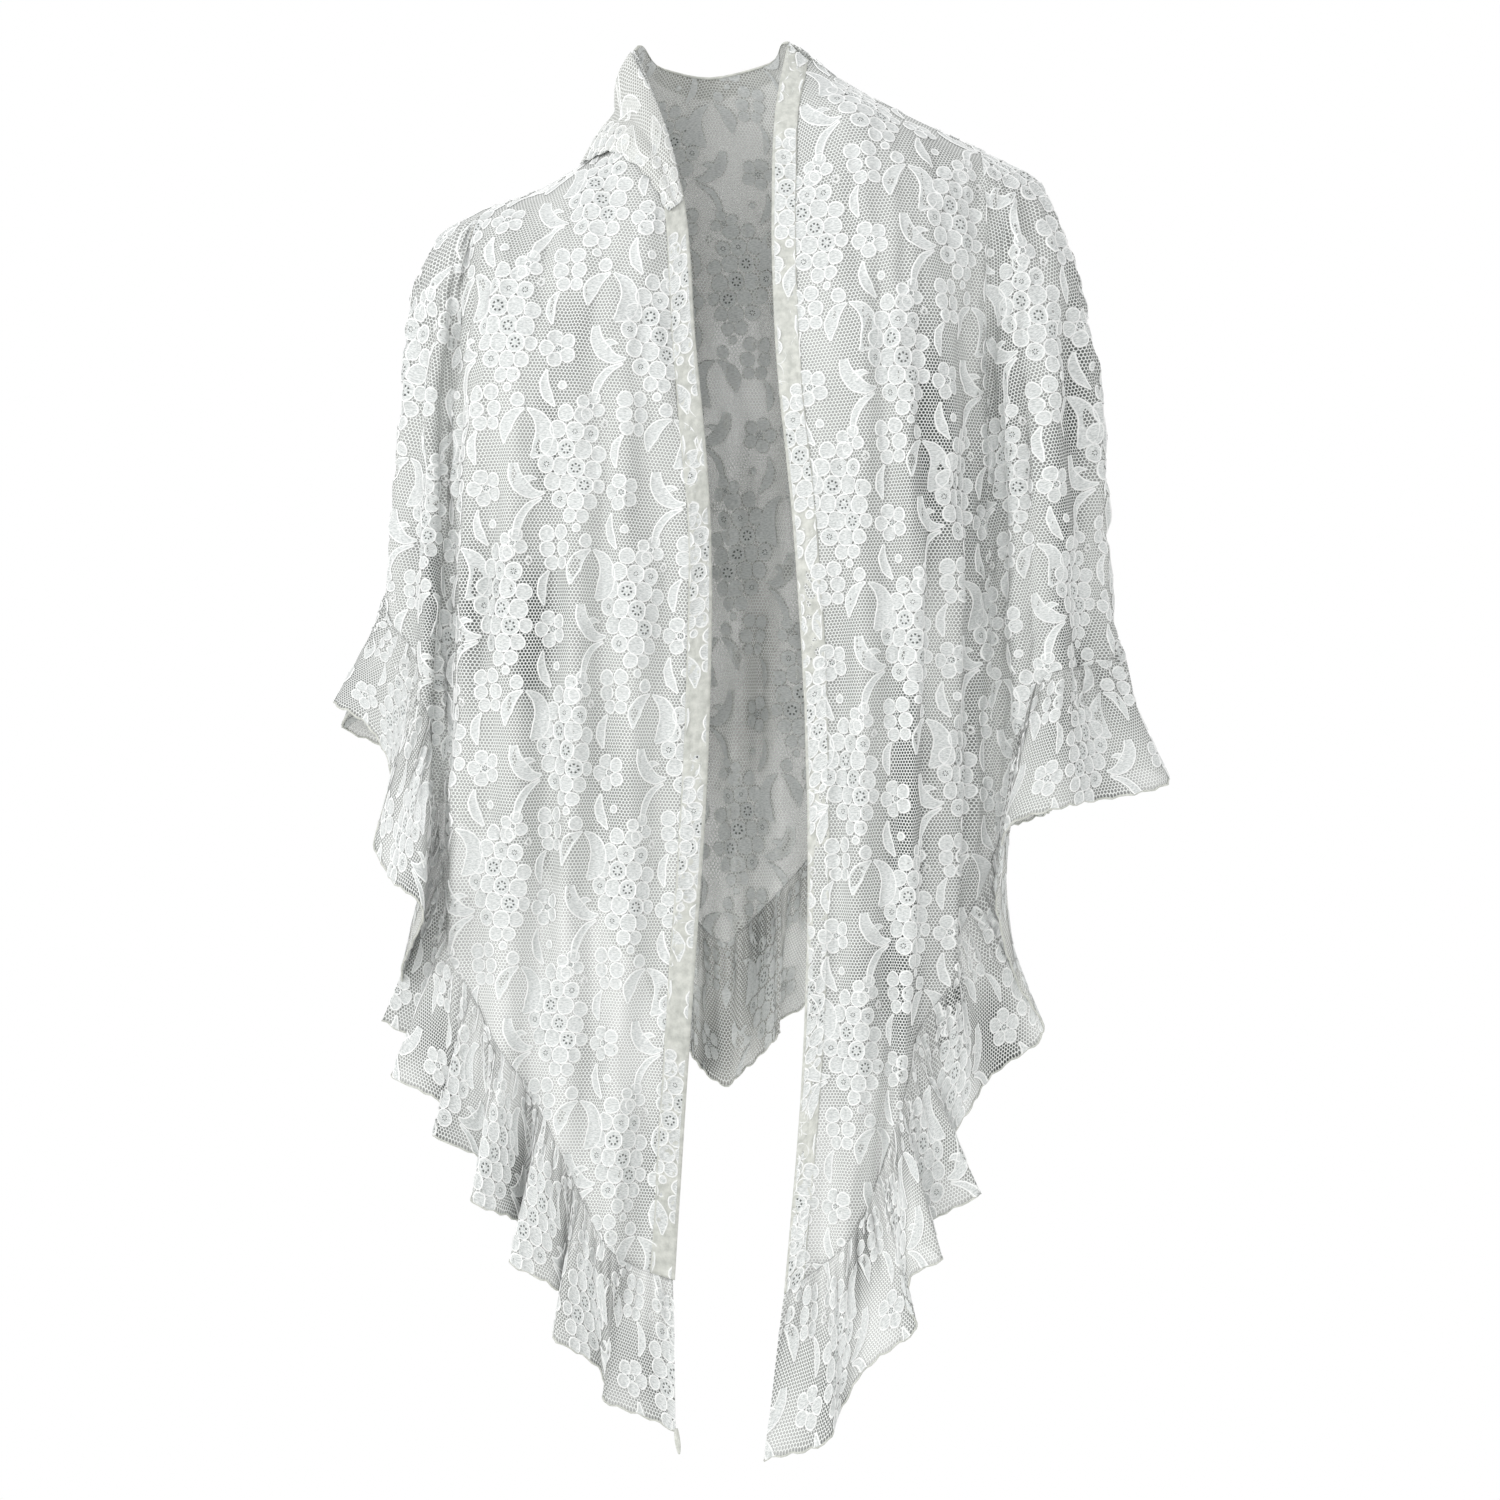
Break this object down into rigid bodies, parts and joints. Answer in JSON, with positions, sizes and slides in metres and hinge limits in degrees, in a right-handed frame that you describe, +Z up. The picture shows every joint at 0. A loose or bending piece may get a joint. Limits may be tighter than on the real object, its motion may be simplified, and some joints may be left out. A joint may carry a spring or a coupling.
{
  "type": "ruffled lace shawl",
  "caption": "Open-front lace shawl in the form it takes when worn, draped over both shoulders and arms, with a gathered ruffle along its outer edge and hemmed front edges that hang to points.",
  "frame": {"origin": "at the base of the wearer's neck, midway between the two shoulders, inside the neck opening", "axes": "+Z up, the open front faces -Y, +X to the right of someone who looks at the front"},
  "size_m": [0.5831, 0.2979, 1.0499],
  "materials": {
    "lace": "soft white corded lace on fine net, matt",
    "ruffle_lace": "the same lace, gathered, matt",
    "hem": "folded lace hem, two layers, faintly ivory, matt"
  },
  "bodies": {
    "root": {"front_left": "lace", "arm_left": "lace", "back": "lace", "arm_right": "lace", "front_right": "lace", "ruffle_front_left": "ruffle_lace", "ruffle_arm_left": "ruffle_lace", "ruffle_back": "ruffle_lace", "ruffle_arm_right": "ruffle_lace", "ruffle_front_right": "ruffle_lace", "front_band_left": "hem", "front_band_right": "hem", "nape_band": "hem", "turned_edge": "lace", "tip_tail": "hem"}
  },
  "joints": []
}
